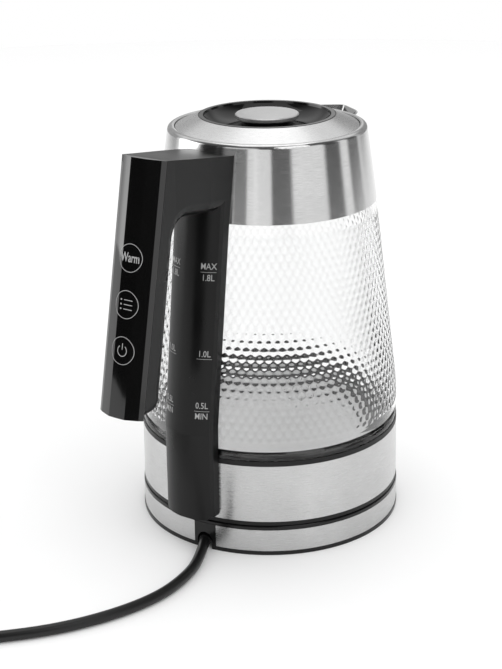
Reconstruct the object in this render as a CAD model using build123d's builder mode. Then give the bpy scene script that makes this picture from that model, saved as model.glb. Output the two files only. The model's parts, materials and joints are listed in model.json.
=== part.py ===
from build123d import *
import os
from math import cos, pi, radians, sin, tan

# Cordless electric kettle: a tapered glass jug with a steel collar, lid and L-shaped handle, standing on a power base.
# Millimetres. The origin is the centre of the power base on the surface it stands on.
# +Z is up, the spout points to +X and the handle to -X.

os.makedirs("parts", exist_ok=True)

# ---------------------------------------------------------------- driving dimensions
SHEET = 0.7  # thickness of the formed steel skins

BASE_R = 83.0  # lower edge of the power base
BASE_TOP = 19.0  # top of the power base's black deck
RING_R = 82.7  # outside of the base's steel ring
RING_LOW = 2.5
RING_HIGH = 16.6
WALL_IN_R = 79.6  # inside of the base's wall
CORD_ANGLE = 184.9  # where the cord leaves the base, about Z from +X
EXIT_HALF = 7.5  # half the width of the cord-exit block
ARCH_HALF = 4.9
ARCH_TOP = 10.6
TOWER_R = 14.6  # connector tower of the base
TOWER_TOP = 32.0

JUG_LOW = 19.3  # underside of the jug's black trim, a small gap above the base
TRIM_R = 82.2
BAND_LOW = 22.2
BAND_HIGH = 58.7
BAND_TOP_R = 81.8
SEAL_TOP = 61.8
PLATE_TOP = 57.6  # upper face of the heating plate, which lies below the glass's foot
PLATE_R = 71.8
GLASS_T = 3.0
GLASS_FOOT_R = 81.7
GLASS_FOOT_TOP = 66.0
GLASS_STRAIGHT = 83.0  # above this height the glass is a plain cone
GLASS_R_LOW = 81.4
GLASS_TOP = 222.0
COLLAR_LOW = 204.2
COLLAR_R_LOW = 66.9
COLLAR_TOP = 250.2
COLLAR_R_HIGH = 60.25  # where the collar's cone would meet its top
COLLAR_T = 0.8
MOUTH_R = 56.35  # inner edge of the collar's rolled lip
LIP_TOP = 249.1
LIP_LOW = 243.5
WELL_R = 54.8  # inside of the plastic ring in the mouth

LID_R = 56.0
LID_EDGE_Z = 248.7
LID_HOLE_R = 41.8
LID_TOP = 255.1
KNOB_R = 19.4
KNOB_TOP = 256.0
STEM_R = 15.8

HANDLE_HALF = 15.5  # half the width of the grip
HANDLE_HALF_IN = 17.05  # half the width of the bridge where it meets the collar, as wide as the spine below it
HANDLE_TOP = (60.0, 243.4)  # a point of the handle's top, which rises outwards
HANDLE_RISE = 0.149
SEAM_TOP = (118.4, 252.1)  # distance from the axis and height of the seam under the touch panel, at its top
SEAM_LOW = (147.2, 110.5)  # and at its bottom
PANEL_PROUD = 5.2  # how far the panel's crown stands out of the seam
WALL = 2.4
SPINE_HALF = 17.0
SPINE_LOW = 23.5
SPINE_PROUD = 11.4

CORD_D = 6.4
CORD_R = CORD_D / 2
COIL_R = 33.0  # middle of the put-away coil's turns
COIL_CENTRE = (-235.6, 81.7)


# ---------------------------------------------------------------- shared geometry
def glass_r(z):
    """Outside radius of the jug's tapered wall at height z, along its straight part."""
    share = (z - GLASS_STRAIGHT) / (COLLAR_LOW - GLASS_STRAIGHT)
    return GLASS_R_LOW + share * (COLLAR_R_LOW - GLASS_R_LOW)


def collar_r(z):
    """Outside radius of the collar's cone at height z."""
    share = (z - COLLAR_LOW) / (COLLAR_TOP - COLLAR_LOW)
    return COLLAR_R_LOW + share * (COLLAR_R_HIGH - COLLAR_R_LOW)


def turned(*points):
    """Revolves a closed outline of (radius, height) points about Z inside the current part."""
    with BuildSketch(Plane.XZ) as outline:
        with BuildLine():
            Polyline(*points, close=True)
        make_face()
    revolve(outline.sketch, axis=Axis.Z)


def ring(inner, outer, low, high):
    """A plain round ring."""
    turned((inner, low), (outer, low), (outer, high), (inner, high))


def save(part, name):
    part.part.label = name
    export_step(part.part, f"parts/{name}.step")


exit_dir = Vector(cos(radians(CORD_ANGLE)), sin(radians(CORD_ANGLE)), 0)
exit_plane = Plane(origin=(0, 0, 0), x_dir=exit_dir, z_dir=(0, 0, 1))  # local X runs out through the cord exit
arch_plane = Plane(origin=exit_dir * 55, x_dir=exit_plane.y_dir, z_dir=exit_dir)  # looks out through the exit

# The jug's outside, a little oversize: the handle and the spine are trimmed to it.
CLEAR = 0.1
with BuildPart() as envelope:
    turned(
        (0, 0),
        (TRIM_R + CLEAR, 0),
        (TRIM_R + CLEAR, BAND_LOW),
        (BAND_TOP_R + CLEAR, BAND_HIGH),
        (GLASS_FOOT_R + CLEAR, GLASS_FOOT_TOP),
        (GLASS_R_LOW + CLEAR, GLASS_STRAIGHT),
        (COLLAR_R_LOW + CLEAR, COLLAR_LOW),
        (COLLAR_R_HIGH + CLEAR, COLLAR_TOP),
        (COLLAR_R_HIGH + CLEAR, 270),
        (0, 270),
    )

# The lead leaves the arch, bends round on the surface and ends in a put-away coil with its plug beside it.
cord_route = [
    (-82.6, -7.0, 4.6),
    (-101.5, -16.6, CORD_R),
    (-122.0, -22.6, CORD_R),
    (-150.0, -23.6, CORD_R),
    (-181.6, -13.6, CORD_R),
    (-211.5, 3.8, CORD_R),
    (-237.8, 28.3, CORD_R),
    (-266.7, 58.4, CORD_R),
]
cord_start = Vector(*cord_route[0])
cord_heading = (Vector(*cord_route[1]) - cord_start).normalized()

# ---------------------------------------------------------------- power base
SCREW_RING_R = 66.0
# Moulded shell: lower lip, wall behind the steel ring, upper trim, deck and the full-height cord-exit block.
with BuildPart() as base_shell:
    turned(
        (WALL_IN_R, 0),
        (BASE_R, 0),
        (BASE_R, RING_LOW - 0.1),
        (RING_R - SHEET - 0.1, RING_LOW - 0.1),
        (RING_R - SHEET - 0.1, RING_HIGH + 0.1),
        (RING_R - 0.1, RING_HIGH + 0.1),
        (RING_R - 0.1, BASE_TOP - 0.5),
        (RING_R - 0.6, BASE_TOP),
        (TOWER_R + 0.2, BASE_TOP),
        (TOWER_R + 0.2, BASE_TOP - 1.8),
        (WALL_IN_R, BASE_TOP - 1.8),
    )
    with BuildSketch(exit_plane):
        with Locations((BASE_R - 12, 0)):
            Rectangle(30, 2 * EXIT_HALF)
        Circle(BASE_R - 16, mode=Mode.SUBTRACT)
        Circle(BASE_R - 0.2, mode=Mode.INTERSECT)
    extrude(amount=RING_HIGH + 0.3)
    with BuildSketch(arch_plane):
        with Locations((0, (ARCH_TOP - ARCH_HALF) / 2)):
            Rectangle(2 * ARCH_HALF, ARCH_TOP - ARCH_HALF)
        with Locations((0, ARCH_TOP - ARCH_HALF)):
            Circle(ARCH_HALF)
    extrude(amount=40, mode=Mode.SUBTRACT)
    with PolarLocations(SCREW_RING_R, 3):
        Cylinder(3.6, BASE_TOP - 1, align=(Align.CENTER, Align.CENTER, Align.MIN))
        Cylinder(1.3, 12, align=(Align.CENTER, Align.CENTER, Align.MIN), mode=Mode.SUBTRACT)
        Cylinder(4, 2.9, align=(Align.CENTER, Align.CENTER, Align.MIN), mode=Mode.SUBTRACT)
    with Locations(Plane(origin=cord_start, z_dir=cord_heading)):
        Cylinder(4.9, 44, mode=Mode.SUBTRACT)
save(base_shell, "base_shell")

# Brushed steel ring around the base, open at the cord exit.
with BuildPart() as base_steel_ring:
    ring(RING_R - SHEET, RING_R, RING_LOW, RING_HIGH)
    with BuildSketch(exit_plane):
        with Locations((BASE_R, 0)):
            Rectangle(30, 2 * EXIT_HALF + 0.2)
    extrude(amount=BASE_TOP, mode=Mode.SUBTRACT)
save(base_steel_ring, "base_steel_ring")

# Cover under the base, with the cord tunnel left open and sockets for feet and screws.
FOOT_RING_R = 70.0
FOOT_ANGLE = 45
with BuildPart() as base_bottom_plate:
    with BuildSketch(Plane.XY.offset(1.0)):
        Circle(WALL_IN_R - 0.2)
        with PolarLocations(SCREW_RING_R, 3):
            Circle(1.7, mode=Mode.SUBTRACT)
    extrude(amount=1.8)
    with BuildSketch(exit_plane):
        with Locations((BASE_R - 12, 0)):
            Rectangle(34, 2 * EXIT_HALF + 0.4)
    extrude(amount=BASE_TOP, mode=Mode.SUBTRACT)
    with BuildSketch(Plane.XY.offset(1.0)):
        with PolarLocations(FOOT_RING_R, 4, start_angle=FOOT_ANGLE):
            Circle(5.1)
    extrude(amount=0.8, mode=Mode.SUBTRACT)
    with Locations(Plane(origin=cord_start, z_dir=cord_heading)):
        Cylinder(4.9, 56, mode=Mode.SUBTRACT)
save(base_bottom_plate, "base_bottom_plate")

with BuildPart() as base_feet:
    with BuildSketch():
        with PolarLocations(FOOT_RING_R, 4, start_angle=FOOT_ANGLE):
            Circle(5.0)
    extrude(amount=1.8)
save(base_feet, "base_feet")


def pan_screw(head_r, head_h, shank_r, length):
    """A cross-slotted pan-head screw at each current location, head down at local z = 0 and shank up."""
    Cylinder(head_r, head_h, align=(Align.CENTER, Align.CENTER, Align.MIN))
    Cylinder(shank_r, length, align=(Align.CENTER, Align.CENTER, Align.MIN))
    Box(head_r * 1.3, 0.7, head_h * 0.6, align=(Align.CENTER, Align.CENTER, Align.MIN), mode=Mode.SUBTRACT)
    Box(0.7, head_r * 1.3, head_h * 0.6, align=(Align.CENTER, Align.CENTER, Align.MIN), mode=Mode.SUBTRACT)


with BuildPart(Plane.XY.offset(0.2)) as base_screws:
    with PolarLocations(SCREW_RING_R, 3):
        pan_screw(2.6, 0.8, 1.25, 10)
save(base_screws, "base_screws")

# Round connector tower: the jug's connector drops over it at any angle.
SLOTS = ((5.0, 6.5), (9.0, 10.5))  # inner and outer radius of each contact slot
with BuildPart() as base_connector:
    turned((0, 8), (24, 8), (24, 10), (TOWER_R, 10), (TOWER_R, TOWER_TOP - 1), (TOWER_R - 1, TOWER_TOP), (0, TOWER_TOP))
    with BuildSketch(Plane.XY.offset(TOWER_TOP)):
        Circle(SLOTS[1][1])
        Circle(SLOTS[1][0], mode=Mode.SUBTRACT)
        Circle(SLOTS[0][1])
        Circle(SLOTS[0][0], mode=Mode.SUBTRACT)
        Circle(2.4)
    extrude(amount=-14, mode=Mode.SUBTRACT)
save(base_connector, "base_connector")

# Sprung brass rings in the tower's slots and at the foot of its centre hole.
with BuildPart() as base_contacts:
    ring(SLOTS[0][0] + 0.05, SLOTS[0][0] + 0.3, TOWER_TOP - 13.9, TOWER_TOP - 3)
    ring(SLOTS[1][0] + 0.05, SLOTS[1][0] + 0.3, TOWER_TOP - 13.9, TOWER_TOP - 3)
    ring(0.8, 2.3, TOWER_TOP - 13.9, TOWER_TOP - 11)
save(base_contacts, "base_contacts")

# Screwed bridge that grips the cord inside the base, in line with its sleeve.
RELIEF = 22.0
clamp_at = cord_start - cord_heading * (RELIEF + 9)
clamp_plane = Plane(origin=(clamp_at.X, clamp_at.Y, 0), x_dir=(cord_heading.X, cord_heading.Y, 0), z_dir=(0, 0, 1))
with BuildPart() as cord_clamp:
    with Locations(clamp_plane.offset(2.9)):
        Box(7, 20, 9.5, align=(Align.CENTER, Align.CENTER, Align.MIN))
    with Locations(Plane(origin=clamp_at, z_dir=cord_heading)):
        Cylinder(CORD_R + 0.1, 14, mode=Mode.SUBTRACT)
save(cord_clamp, "cord_clamp")

# ---------------------------------------------------------------- cord, coil and plug
COIL_HALF = 9.3  # half the width of the coil's bundle
COIL_H = 2 * CORD_D
PLUG_DIR = 34.2  # heading of the lead where it leaves the coil for the plug
PLUG_Z = 6.6
SLEEVE = 24.0
PLUG_R = 19.0
tail_route = [
    (-262.4, 108.6, CORD_R),
    (-242.5, 121.4, CORD_R),
    (-224.0, 133.2, PLUG_Z),
]


def arc_radii(points):
    """A tangent arc for each inner corner: 0.45 of the shorter run over the tangent of half the turn."""
    radii = []
    for before, corner, after in zip(points, points[1:], points[2:]):
        run_in = Vector(*corner) - Vector(*before)
        run_out = Vector(*after) - Vector(*corner)
        half_turn = radians(run_in.get_angle(run_out)) / 2
        radii.append(0.45 * min(run_in.length, run_out.length) / tan(half_turn))
    return radii


def lead(points, name):
    """A round lead along straight runs joined by tangent arcs, trimmed where it runs into the coil."""
    radii = arc_radii(points)
    print(name, "arc radii", [round(r, 1) for r in radii])
    with BuildPart() as tube:
        with BuildLine() as path:
            FilletPolyline(*points, radius=radii)
        with BuildSketch(Plane(origin=points[0], z_dir=Vector(*points[1]) - Vector(*points[0]))):
            Circle(CORD_R)
        sweep()
        run = path.wires()[0].length
        expected = pi * CORD_R**2 * run
        print(name, "length", round(run, 1), "volume ratio", round(tube.part.volume / expected, 4))
        with Locations((*COIL_CENTRE, 0)):
            Cylinder(COIL_R + COIL_HALF, 40, mode=Mode.SUBTRACT)
    save(tube, name)


lead(cord_route, "power_cord")
lead(tail_route, "power_cord_tail")

with BuildPart() as cord_coil:
    with BuildSketch(Plane(origin=(*COIL_CENTRE, 0))):
        Circle(COIL_R + COIL_HALF)
        Circle(COIL_R - COIL_HALF, mode=Mode.SUBTRACT)
    extrude(amount=COIL_H)
    fillet(cord_coil.edges().group_by(Axis.Z)[-1], 2.4)
save(cord_coil, "cord_coil")

# Tapered sleeve that carries the cord through the arch, and the lead's inner end up to the connector.
with BuildPart() as cord_strain_relief:
    with BuildSketch(Plane(origin=cord_start - cord_heading * RELIEF, z_dir=cord_heading)):
        Circle(4.4)
    with BuildSketch(Plane(origin=cord_start, z_dir=cord_heading)):
        Circle(CORD_R + 0.5)
    loft()
save(cord_strain_relief, "cord_strain_relief")

with BuildPart() as cord_inner_lead:
    with BuildLine() as inner_path:
        FilletPolyline(
            cord_start - cord_heading * (RELIEF + 0.05),
            cord_start - cord_heading * (RELIEF + 20),
            (-26, 14.5, 9),
            radius=14,
        )
    with BuildSketch(Plane(origin=cord_start - cord_heading * (RELIEF + 0.05), z_dir=-cord_heading)):
        Circle(CORD_R)
    sweep()
save(cord_inner_lead, "cord_inner_lead")

save(cord_strain_relief, "cord_strain_relief")

# Angled earthed plug, lying on its back with the pins up.
plug_dir = Vector(cos(radians(PLUG_DIR)), sin(radians(PLUG_DIR)), 0)
plug_start = Vector(*tail_route[-1])
plug_centre = Vector(plug_start.X, plug_start.Y, 0) + plug_dir * (SLEEVE + PLUG_R - 2)
plug_plane = Plane(origin=plug_centre, x_dir=plug_dir, z_dir=(0, 0, 1))
PLUG_H = 23.0
with BuildPart(plug_plane) as plug_body:
    with BuildSketch(plug_plane):
        Circle(PLUG_R)
    extrude(amount=PLUG_H)
    fillet(plug_body.edges().group_by(Axis.Z)[0], 2.5)
    fillet(plug_body.edges().group_by(Axis.Z)[-1], 1.2)
    with BuildSketch(Plane(origin=plug_start, z_dir=plug_start - Vector(*tail_route[-2]))):
        Circle(CORD_R + 0.8)
    with BuildSketch(Plane(origin=plug_start + plug_dir * (SLEEVE + 8), z_dir=plug_dir)):
        Circle(6.4)
    loft()
    with Locations((0, PLUG_R, PLUG_H), (0, -PLUG_R, PLUG_H)):
        Box(8, 4, 17, align=(Align.CENTER, Align.CENTER, Align.MAX), mode=Mode.SUBTRACT)
    with Locations((0, 9.5, PLUG_H), (0, -9.5, PLUG_H)):
        Cylinder(2.4, 8, align=(Align.CENTER, Align.CENTER, Align.MAX), mode=Mode.SUBTRACT)
save(plug_body, "plug_body")

with BuildPart(plug_plane) as plug_pins:
    with Locations((0, 9.5, PLUG_H - 8), (0, -9.5, PLUG_H - 8)):
        Cylinder(2.4, 27, align=(Align.CENTER, Align.CENTER, Align.MIN))
    fillet(plug_pins.edges().group_by(Axis.Z)[-1], 1.6)
save(plug_pins, "plug_pins")

with BuildPart(plug_plane) as plug_earth_clips:
    with Locations((0, PLUG_R - 1.4, PLUG_H - 1), (0, 1.4 - PLUG_R, PLUG_H - 1)):
        Box(6, 1.0, 15.5, align=(Align.CENTER, Align.CENTER, Align.MAX))
save(plug_earth_clips, "plug_earth_clips")

# ---------------------------------------------------------------- swivel
# Loose glide ring round the tower: the jug's connector rests on it and turns it.
with BuildPart() as swivel_glide_ring:
    ring(TOWER_R + 0.5, 20.8, BASE_TOP + 0.1, BASE_TOP + 2.3)
    chamfer(swivel_glide_ring.edges().group_by(Axis.Z)[-1], 0.4)
save(swivel_glide_ring, "swivel_glide_ring")

# ---------------------------------------------------------------- jug base
# Black moulding inside the steel band, with the jug's lower trim and the shelf that carries the seal.
with BuildPart() as jug_base_housing:
    turned(
        (78.4, JUG_LOW),
        (TRIM_R - 0.4, JUG_LOW),
        (TRIM_R, JUG_LOW + 0.4),
        (TRIM_R, BAND_LOW - 0.1),
        (TRIM_R - SHEET - 0.15, BAND_LOW - 0.1),
        (BAND_TOP_R - SHEET - 0.15, BAND_HIGH - 0.1),
        (72, BAND_HIGH - 0.1),
        (72, BAND_HIGH - 2.2),
        (78.4, BAND_HIGH - 2.2),
    )
    with PolarLocations(70, 3, start_angle=30):
        with Locations((0, 0, 24)):
            Cylinder(4, PLATE_TOP - 26.6, align=(Align.CENTER, Align.CENTER, Align.MIN))
            Cylinder(1.3, 12, align=(Align.CENTER, Align.CENTER, Align.MIN), mode=Mode.SUBTRACT)
    with PolarLocations(75.5, 3, start_angle=30):
        with Locations((0, 0, 24)):
            Box(8, 3, PLATE_TOP - 26.6, align=(Align.CENTER, Align.CENTER, Align.MIN))
    with Locations((-80, 0, 40)):
        Cylinder(3, 12, rotation=(0, 90, 0), mode=Mode.SUBTRACT)
save(jug_base_housing, "jug_base_housing")

with BuildPart() as base_band:
    turned(
        (TRIM_R - SHEET, BAND_LOW),
        (TRIM_R, BAND_LOW),
        (BAND_TOP_R, BAND_HIGH),
        (BAND_TOP_R - SHEET, BAND_HIGH),
    )
    with Locations((-81, 0, 40)):
        Cylinder(3, 8, rotation=(0, 90, 0), mode=Mode.SUBTRACT)
save(base_band, "base_band")

with BuildPart() as jug_bottom_cover:
    ring(22.4, 78.2, 21.4, 23.2)
    with BuildSketch(Plane.XY.offset(21.4)):
        with PolarLocations(70, 3, start_angle=30):
            Circle(1.6)
    extrude(amount=3, mode=Mode.SUBTRACT)
save(jug_bottom_cover, "jug_bottom_cover")

with BuildPart(Plane.XY.offset(20.5)) as cover_screws:
    with PolarLocations(70, 3, start_angle=30):
        pan_screw(2.8, 0.9, 1.25, 11)
save(cover_screws, "cover_screws")

# The jug's half of the 360 degree connector: a cap over the tower with a centre pin and two blade rings.
with BuildPart() as jug_connector:
    turned((TOWER_R + 0.8, 21.5), (22.2, 21.5), (22.2, 25), (21, 25), (21, 44), (0, 44), (0, 34), (TOWER_R + 0.8, 34))
    for x, y in ((12, 12), (-12, 12), (12, -12), (-12, -12)):
        with Locations((x, y, 44)):
            Box(6, 1, 4, align=(Align.CENTER, Align.CENTER, Align.MIN))
save(jug_connector, "jug_connector")

with BuildPart() as jug_contacts:
    ring(5.6, 6.1, 24, 34)
    ring(9.6, 10.1, 24, 34)
    ring(0, 1.7, 23, 34)
save(jug_contacts, "jug_contacts")

# Switch block with bimetal discs on top of the connector, pressed against the underside of the plate.
with BuildPart() as dry_boil_cutout:
    with Locations((0, 0, 44.1)):
        Box(18, 18, 5, align=(Align.CENTER, Align.CENTER, Align.MIN))
    with Locations((0, 0, 49.1)):
        Cylinder(6.5, 3.7, align=(Align.CENTER, Align.CENTER, Align.MIN))
save(dry_boil_cutout, "dry_boil_cutout")

PROBE_X = 38.0
with BuildPart() as heat_spreader:
    ring(0, 62, PLATE_TOP - 4.7, PLATE_TOP - 1.5)
    with Locations((PROBE_X, 0, PLATE_TOP - 3)):
        Cylinder(3.2, 8, mode=Mode.SUBTRACT)
save(heat_spreader, "heat_spreader")

# Sheathed element, pressed into a three-quarter loop under the spreader.
with BuildPart() as heating_element:
    with BuildSketch(Plane.XZ):
        with Locations((52, PLATE_TOP - 8.3)):
            Rectangle(7, 7)
    revolve(axis=Axis.Z, revolution_arc=290)
    fillet(heating_element.edges().filter_by(GeomType.CIRCLE), 2.2)
save(heating_element, "heating_element")

with BuildPart() as temperature_probe:
    with Locations((PROBE_X, 0, PLATE_TOP - 13.6)):
        Cylinder(3.0, 18, align=(Align.CENTER, Align.CENTER, Align.MIN))
    fillet(temperature_probe.edges().group_by(Axis.Z)[-1], 2.4)
    with Locations((PROBE_X, 0, PLATE_TOP - 13.6)):
        Cylinder(5, 2, align=(Align.CENTER, Align.CENTER, Align.MIN))
save(temperature_probe, "temperature_probe")

with BuildPart() as heating_plate:
    ring(0, PLATE_R, PLATE_TOP - 1.4, PLATE_TOP)
    with Locations((PROBE_X, 0, PLATE_TOP)):
        Cylinder(3.2, 8, mode=Mode.SUBTRACT)
save(heating_plate, "heating_plate")

# Silicone ring under the glass: its sloping inner skirt laps over the edge of the plate.
with BuildPart() as glass_seal_ring:
    turned(
        (64.0, PLATE_TOP + 0.1),
        (66.5, PLATE_TOP + 0.1),
        (70, BAND_HIGH),
        (BAND_TOP_R - 0.1, BAND_HIGH),
        (BAND_TOP_R - 0.1, SEAL_TOP),
        (78.6, SEAL_TOP),
        (78.6, SEAL_TOP + 4.6),
        (77.4, SEAL_TOP + 4.6),
    )
save(glass_seal_ring, "glass_seal_ring")

with BuildPart() as relay_board:
    with Locations((-42, 0, 27)):
        Box(30, 62, 1.6, align=(Align.CENTER, Align.CENTER, Align.MIN))
        Box(16, 20, 14, align=(Align.CENTER, Align.CENTER, Align.MIN))
    with Locations((-36, 21, 28)):
        Cylinder(5, 12, align=(Align.CENTER, Align.CENTER, Align.MIN))
    with Locations((-48, -21, 28)):
        Box(8, 12, 9, align=(Align.CENTER, Align.CENTER, Align.MIN))
save(relay_board, "relay_board")

# ---------------------------------------------------------------- glass
with BuildPart() as glass_body:
    turned(
        (GLASS_FOOT_R, SEAL_TOP),
        (GLASS_FOOT_R, GLASS_FOOT_TOP),
        (GLASS_R_LOW, GLASS_STRAIGHT),
        (COLLAR_R_LOW, COLLAR_LOW - 0.2),
        (COLLAR_R_LOW - COLLAR_T - 0.2, COLLAR_LOW - 0.2),
        (collar_r(GLASS_TOP) - COLLAR_T - 0.2, GLASS_TOP),
        (collar_r(GLASS_TOP) - COLLAR_T - 0.2 - GLASS_T, GLASS_TOP),
        (COLLAR_R_LOW - COLLAR_T - 0.2 - GLASS_T, COLLAR_LOW - 0.2),
        (GLASS_R_LOW - GLASS_T, GLASS_STRAIGHT),
        (GLASS_FOOT_R - GLASS_T, GLASS_FOOT_TOP),
        (GLASS_FOOT_R - GLASS_T, SEAL_TOP),
    )
save(glass_body, "glass_body")

# ---------------------------------------------------------------- collar and spout
SPOUT_LOW = 208.0
SPOUT_HIGH = 245.4
WINDOW_HIGH = 242.6  # the spout's passage goes under the collar's rolled lip


def beak(low, high, inset, mode=Mode.ADD):
    """The pouring lip's outer shape between two heights: a round back and a narrow nose, drawn in by inset."""
    sections = []
    for z in (low, high):
        share = (z - SPOUT_LOW) / (SPOUT_HIGH - SPOUT_LOW)
        with BuildSketch(Plane.XY.offset(z)) as section:
            with Locations((57 + 3 * share, 0)):
                Circle(8 + 16 * share - inset)
            with Locations((65 + 17.5 * share, 0)):
                Circle(1.6 + 3.9 * share - inset)
            make_hull()
        sections.append(section.sketch)
    loft(sections=sections, ruled=True, mode=mode)


with BuildPart() as spout_window:
    beak(SPOUT_LOW + 5, WINDOW_HIGH, COLLAR_T + 0.5)

with BuildPart() as steel_collar:
    beak(SPOUT_LOW, SPOUT_HIGH, 0)
    with BuildSketch(Plane.XZ):
        with BuildLine():
            Polyline(
                (0, SPOUT_LOW - 5),
                (collar_r(SPOUT_LOW - 5) - 0.3, SPOUT_LOW - 5),
                (COLLAR_R_HIGH - 0.3, COLLAR_TOP),
                (0, COLLAR_TOP),
                close=True,
            )
        make_face()
    revolve(axis=Axis.Z, mode=Mode.SUBTRACT)
    beak(SPOUT_LOW + 3, SPOUT_HIGH + 1, COLLAR_T, mode=Mode.SUBTRACT)
    with BuildSketch(Plane.XZ) as collar_outline:
        with BuildLine():
            Polyline(
                (COLLAR_R_LOW - COLLAR_T, COLLAR_LOW),
                (COLLAR_R_LOW, COLLAR_LOW),
                (COLLAR_R_HIGH, COLLAR_TOP),
                (MOUTH_R, LIP_TOP),
                (MOUTH_R, LIP_LOW),
                (MOUTH_R + COLLAR_T, LIP_LOW),
                (MOUTH_R + COLLAR_T, LIP_TOP - 0.6),
                (COLLAR_R_HIGH - COLLAR_T + 0.1, COLLAR_TOP - 1.0),
                close=True,
            )
        make_face()
        fillet(collar_outline.vertices().sort_by_distance((COLLAR_R_HIGH, COLLAR_TOP))[0], 2.8)
        inner_corner = (COLLAR_R_HIGH - COLLAR_T + 0.1, COLLAR_TOP - 1.0)
        fillet(collar_outline.vertices().sort_by_distance(inner_corner)[0], 1.4)
    revolve(axis=Axis.Z)
    add(spout_window, mode=Mode.SUBTRACT)
    with Locations((-62, 8, 232), (-62, -8, 232)):
        Cylinder(1.5, 8, rotation=(0, 90, 0), mode=Mode.SUBTRACT)
save(steel_collar, "steel_collar")

with BuildPart() as collar_seal:
    ring(59.6, 63.0, GLASS_TOP, GLASS_TOP + 2.4)
save(collar_seal, "collar_seal")

# Moulded ring in the mouth: the lid's gasket runs in it, and the spout's filter stands in its window.
WELL_T = 1.5
FILTER_LOW = 228.5
FILTER_HIGH = 241.5
FILTER_HALF = 17.0
with BuildPart() as collar_inner_ring:
    turned(
        (WELL_R, GLASS_TOP + 2.4),
        (62.4, GLASS_TOP + 2.4),
        (62.4, GLASS_TOP + 4.2),
        (WELL_R + WELL_T, GLASS_TOP + 4.2),
        (WELL_R + WELL_T, LIP_LOW - 0.1),
        (WELL_R, LIP_LOW - 0.1),
    )
    with Locations((WELL_R, 0, (FILTER_LOW + FILTER_HIGH) / 2)):
        Box(16, 2 * FILTER_HALF, FILTER_HIGH - FILTER_LOW, mode=Mode.SUBTRACT)
save(collar_inner_ring, "collar_inner_ring")


def curved_panel(low, high, inner, outer, half):
    """A piece of a round wall, facing +X."""
    with BuildSketch(Plane.XY.offset(low)) as section:
        Circle(outer)
        Circle(inner, mode=Mode.SUBTRACT)
        with Locations((outer, 0)):
            Rectangle(outer, 2 * half, mode=Mode.INTERSECT)
    extrude(section.sketch, amount=high - low)


with BuildPart() as spout_filter_frame:
    curved_panel(FILTER_LOW + 0.1, FILTER_HIGH - 0.1, WELL_R + 0.1, WELL_R + WELL_T, FILTER_HALF - 0.1)
    for y in (-10.6, 0, 10.6):
        with Locations((WELL_R, y, (FILTER_LOW + FILTER_HIGH) / 2)):
            Box(16, 9.2, FILTER_HIGH - FILTER_LOW - 3.2, mode=Mode.SUBTRACT)
save(spout_filter_frame, "spout_filter_frame")

MESH_PITCH = 2.2
with BuildPart() as spout_filter_mesh:
    curved_panel(FILTER_LOW + 0.6, FILTER_HIGH - 0.6, WELL_R + WELL_T + 0.05, WELL_R + WELL_T + 0.35, FILTER_HALF - 0.8)
    with Locations(Plane(origin=(WELL_R, 0, (FILTER_LOW + FILTER_HIGH) / 2), z_dir=(1, 0, 0))):
        with GridLocations(MESH_PITCH, MESH_PITCH, 5, 13):
            Box(1.4, 1.4, 12, mode=Mode.SUBTRACT)
save(spout_filter_mesh, "spout_filter_mesh")


# ---------------------------------------------------------------- handle
def handle_top(r):
    """Height of the handle's top at distance r from the axis."""
    return HANDLE_TOP[1] + HANDLE_RISE * (r - HANDLE_TOP[0])


GRIP_LOW_R = 130.4  # inner edge of the grip at its free end
GRIP_HIGH = (110.5, 217.2)  # where the grip's inner face would meet the underside of the bridge
BRIDGE_IN = (52.0, 210.3)
with BuildPart() as handle_outer:
    with BuildSketch(Plane.XZ) as handle_side:
        with BuildLine():
            Polyline(
                (-BRIDGE_IN[0], handle_top(BRIDGE_IN[0])),
                (-SEAM_TOP[0], handle_top(SEAM_TOP[0])),
                (-SEAM_LOW[0], SEAM_LOW[1]),
                (-GRIP_LOW_R, SEAM_LOW[1]),
                (-GRIP_HIGH[0], GRIP_HIGH[1]),
                (-BRIDGE_IN[0], BRIDGE_IN[1]),
                close=True,
            )
        make_face()
        fillet(handle_side.vertices().sort_by_distance((-GRIP_HIGH[0], GRIP_HIGH[1]))[0], 12)
        fillet(handle_side.vertices().sort_by_distance((-GRIP_LOW_R, SEAM_LOW[1]))[0], 8.5)
    extrude(amount=HANDLE_HALF_IN, both=True)
    with BuildSketch(Plane.XY.offset(100)):
        Polygon(
            (-40, HANDLE_HALF_IN),
            (-82, HANDLE_HALF_IN),
            (-112, HANDLE_HALF),
            (-160, HANDLE_HALF),
            (-160, -HANDLE_HALF),
            (-112, -HANDLE_HALF),
            (-82, -HANDLE_HALF_IN),
            (-40, -HANDLE_HALF_IN),
            align=None,
        )
    extrude(amount=170, mode=Mode.INTERSECT)

    def on_inner_contour(edge):
        """True for the side edges along the underside of the bridge, the inside of the grip and its end."""
        middle = edge @ 0.5
        share = (middle.Z - SEAM_LOW[1]) / (SEAM_TOP[1] - SEAM_LOW[1])
        seam = SEAM_LOW[0] + share * (SEAM_TOP[0] - SEAM_LOW[0])
        on_side = abs(middle.Y) > HANDLE_HALF - 0.01
        return on_side and -middle.X < seam - 4 and -middle.X > BRIDGE_IN[0] + 1 and middle.Z < 225

    fillet(handle_outer.edges().filter_by(on_inner_contour), 7.5)
    add(envelope, mode=Mode.SUBTRACT)

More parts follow.
